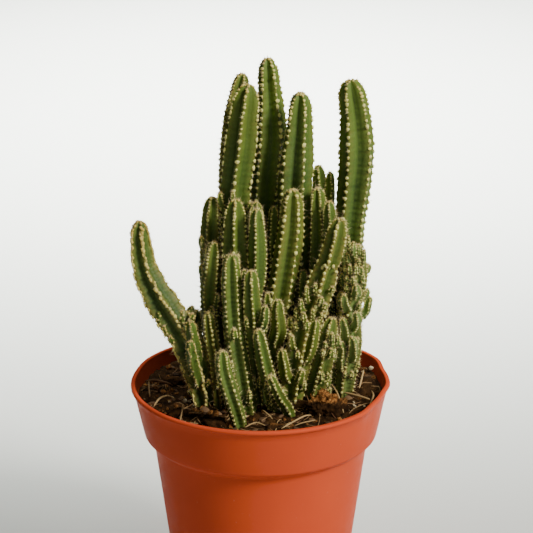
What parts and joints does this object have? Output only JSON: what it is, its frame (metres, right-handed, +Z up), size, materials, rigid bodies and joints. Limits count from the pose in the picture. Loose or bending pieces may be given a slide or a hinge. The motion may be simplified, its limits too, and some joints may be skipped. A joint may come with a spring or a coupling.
{
  "type": "potted triangle cactus",
  "caption": "Clustering columnar cactus with notched upright ribs, rooted in potting mix in a small tapered round nursery pot with a collar and lip.",
  "frame": {"origin": "middle of the pot's flat base, on the surface it stands on", "axes": "+Z up along the pot's axis, -Y towards the viewer of the picture, +X to the viewer's right"},
  "size_m": [0.085, 0.085, 0.1826],
  "materials": {
    "pot": "thin matt terracotta-coloured plastic with a satin lip",
    "mix": "dark peat mix with bark, fibres and grit, rough",
    "skin": "waxy green skin with lighter rib edges",
    "tuft": "cream wool",
    "spine": "straw-coloured, satin",
    "grit": "white, chalky"
  },
  "bodies": {
    "root": {"pot": "pot", "soil": "mix", "stem_arching_left": "skin", "stem_back_centre": "skin", "stem_back_edge": "skin", "stem_back_far_left": "skin", "stem_back_far_right": "skin", "stem_back_left": "skin", "stem_back_outer": "skin", "stem_back_right": "skin", "stem_back_small_left": "skin", "stem_back_small_right": "skin", "stem_front_centre": "skin", "stem_front_left": "skin", "stem_front_low": "skin", "stem_front_small": "skin", "stem_front_tall": "skin", "stem_leaning_right": "skin", "stem_middle_centre": "skin", "stem_middle_left": "skin", "stem_middle_left_back": "skin", "stem_middle_right": "skin", "stem_middle_right_back": "skin", "stem_right_outer": "skin", "stem_right_slim": "skin", "stem_right_small": "skin", "stem_short_left": "skin", "stem_side_small_left": "skin", "stem_slim_right_back": "skin", "stem_tall_centre": "skin", "stem_tall_left": "skin", "stem_tall_right": "skin", "stem_tall_right_centre": "skin", "stem_tallest": "skin"}
  },
  "joints": []
}
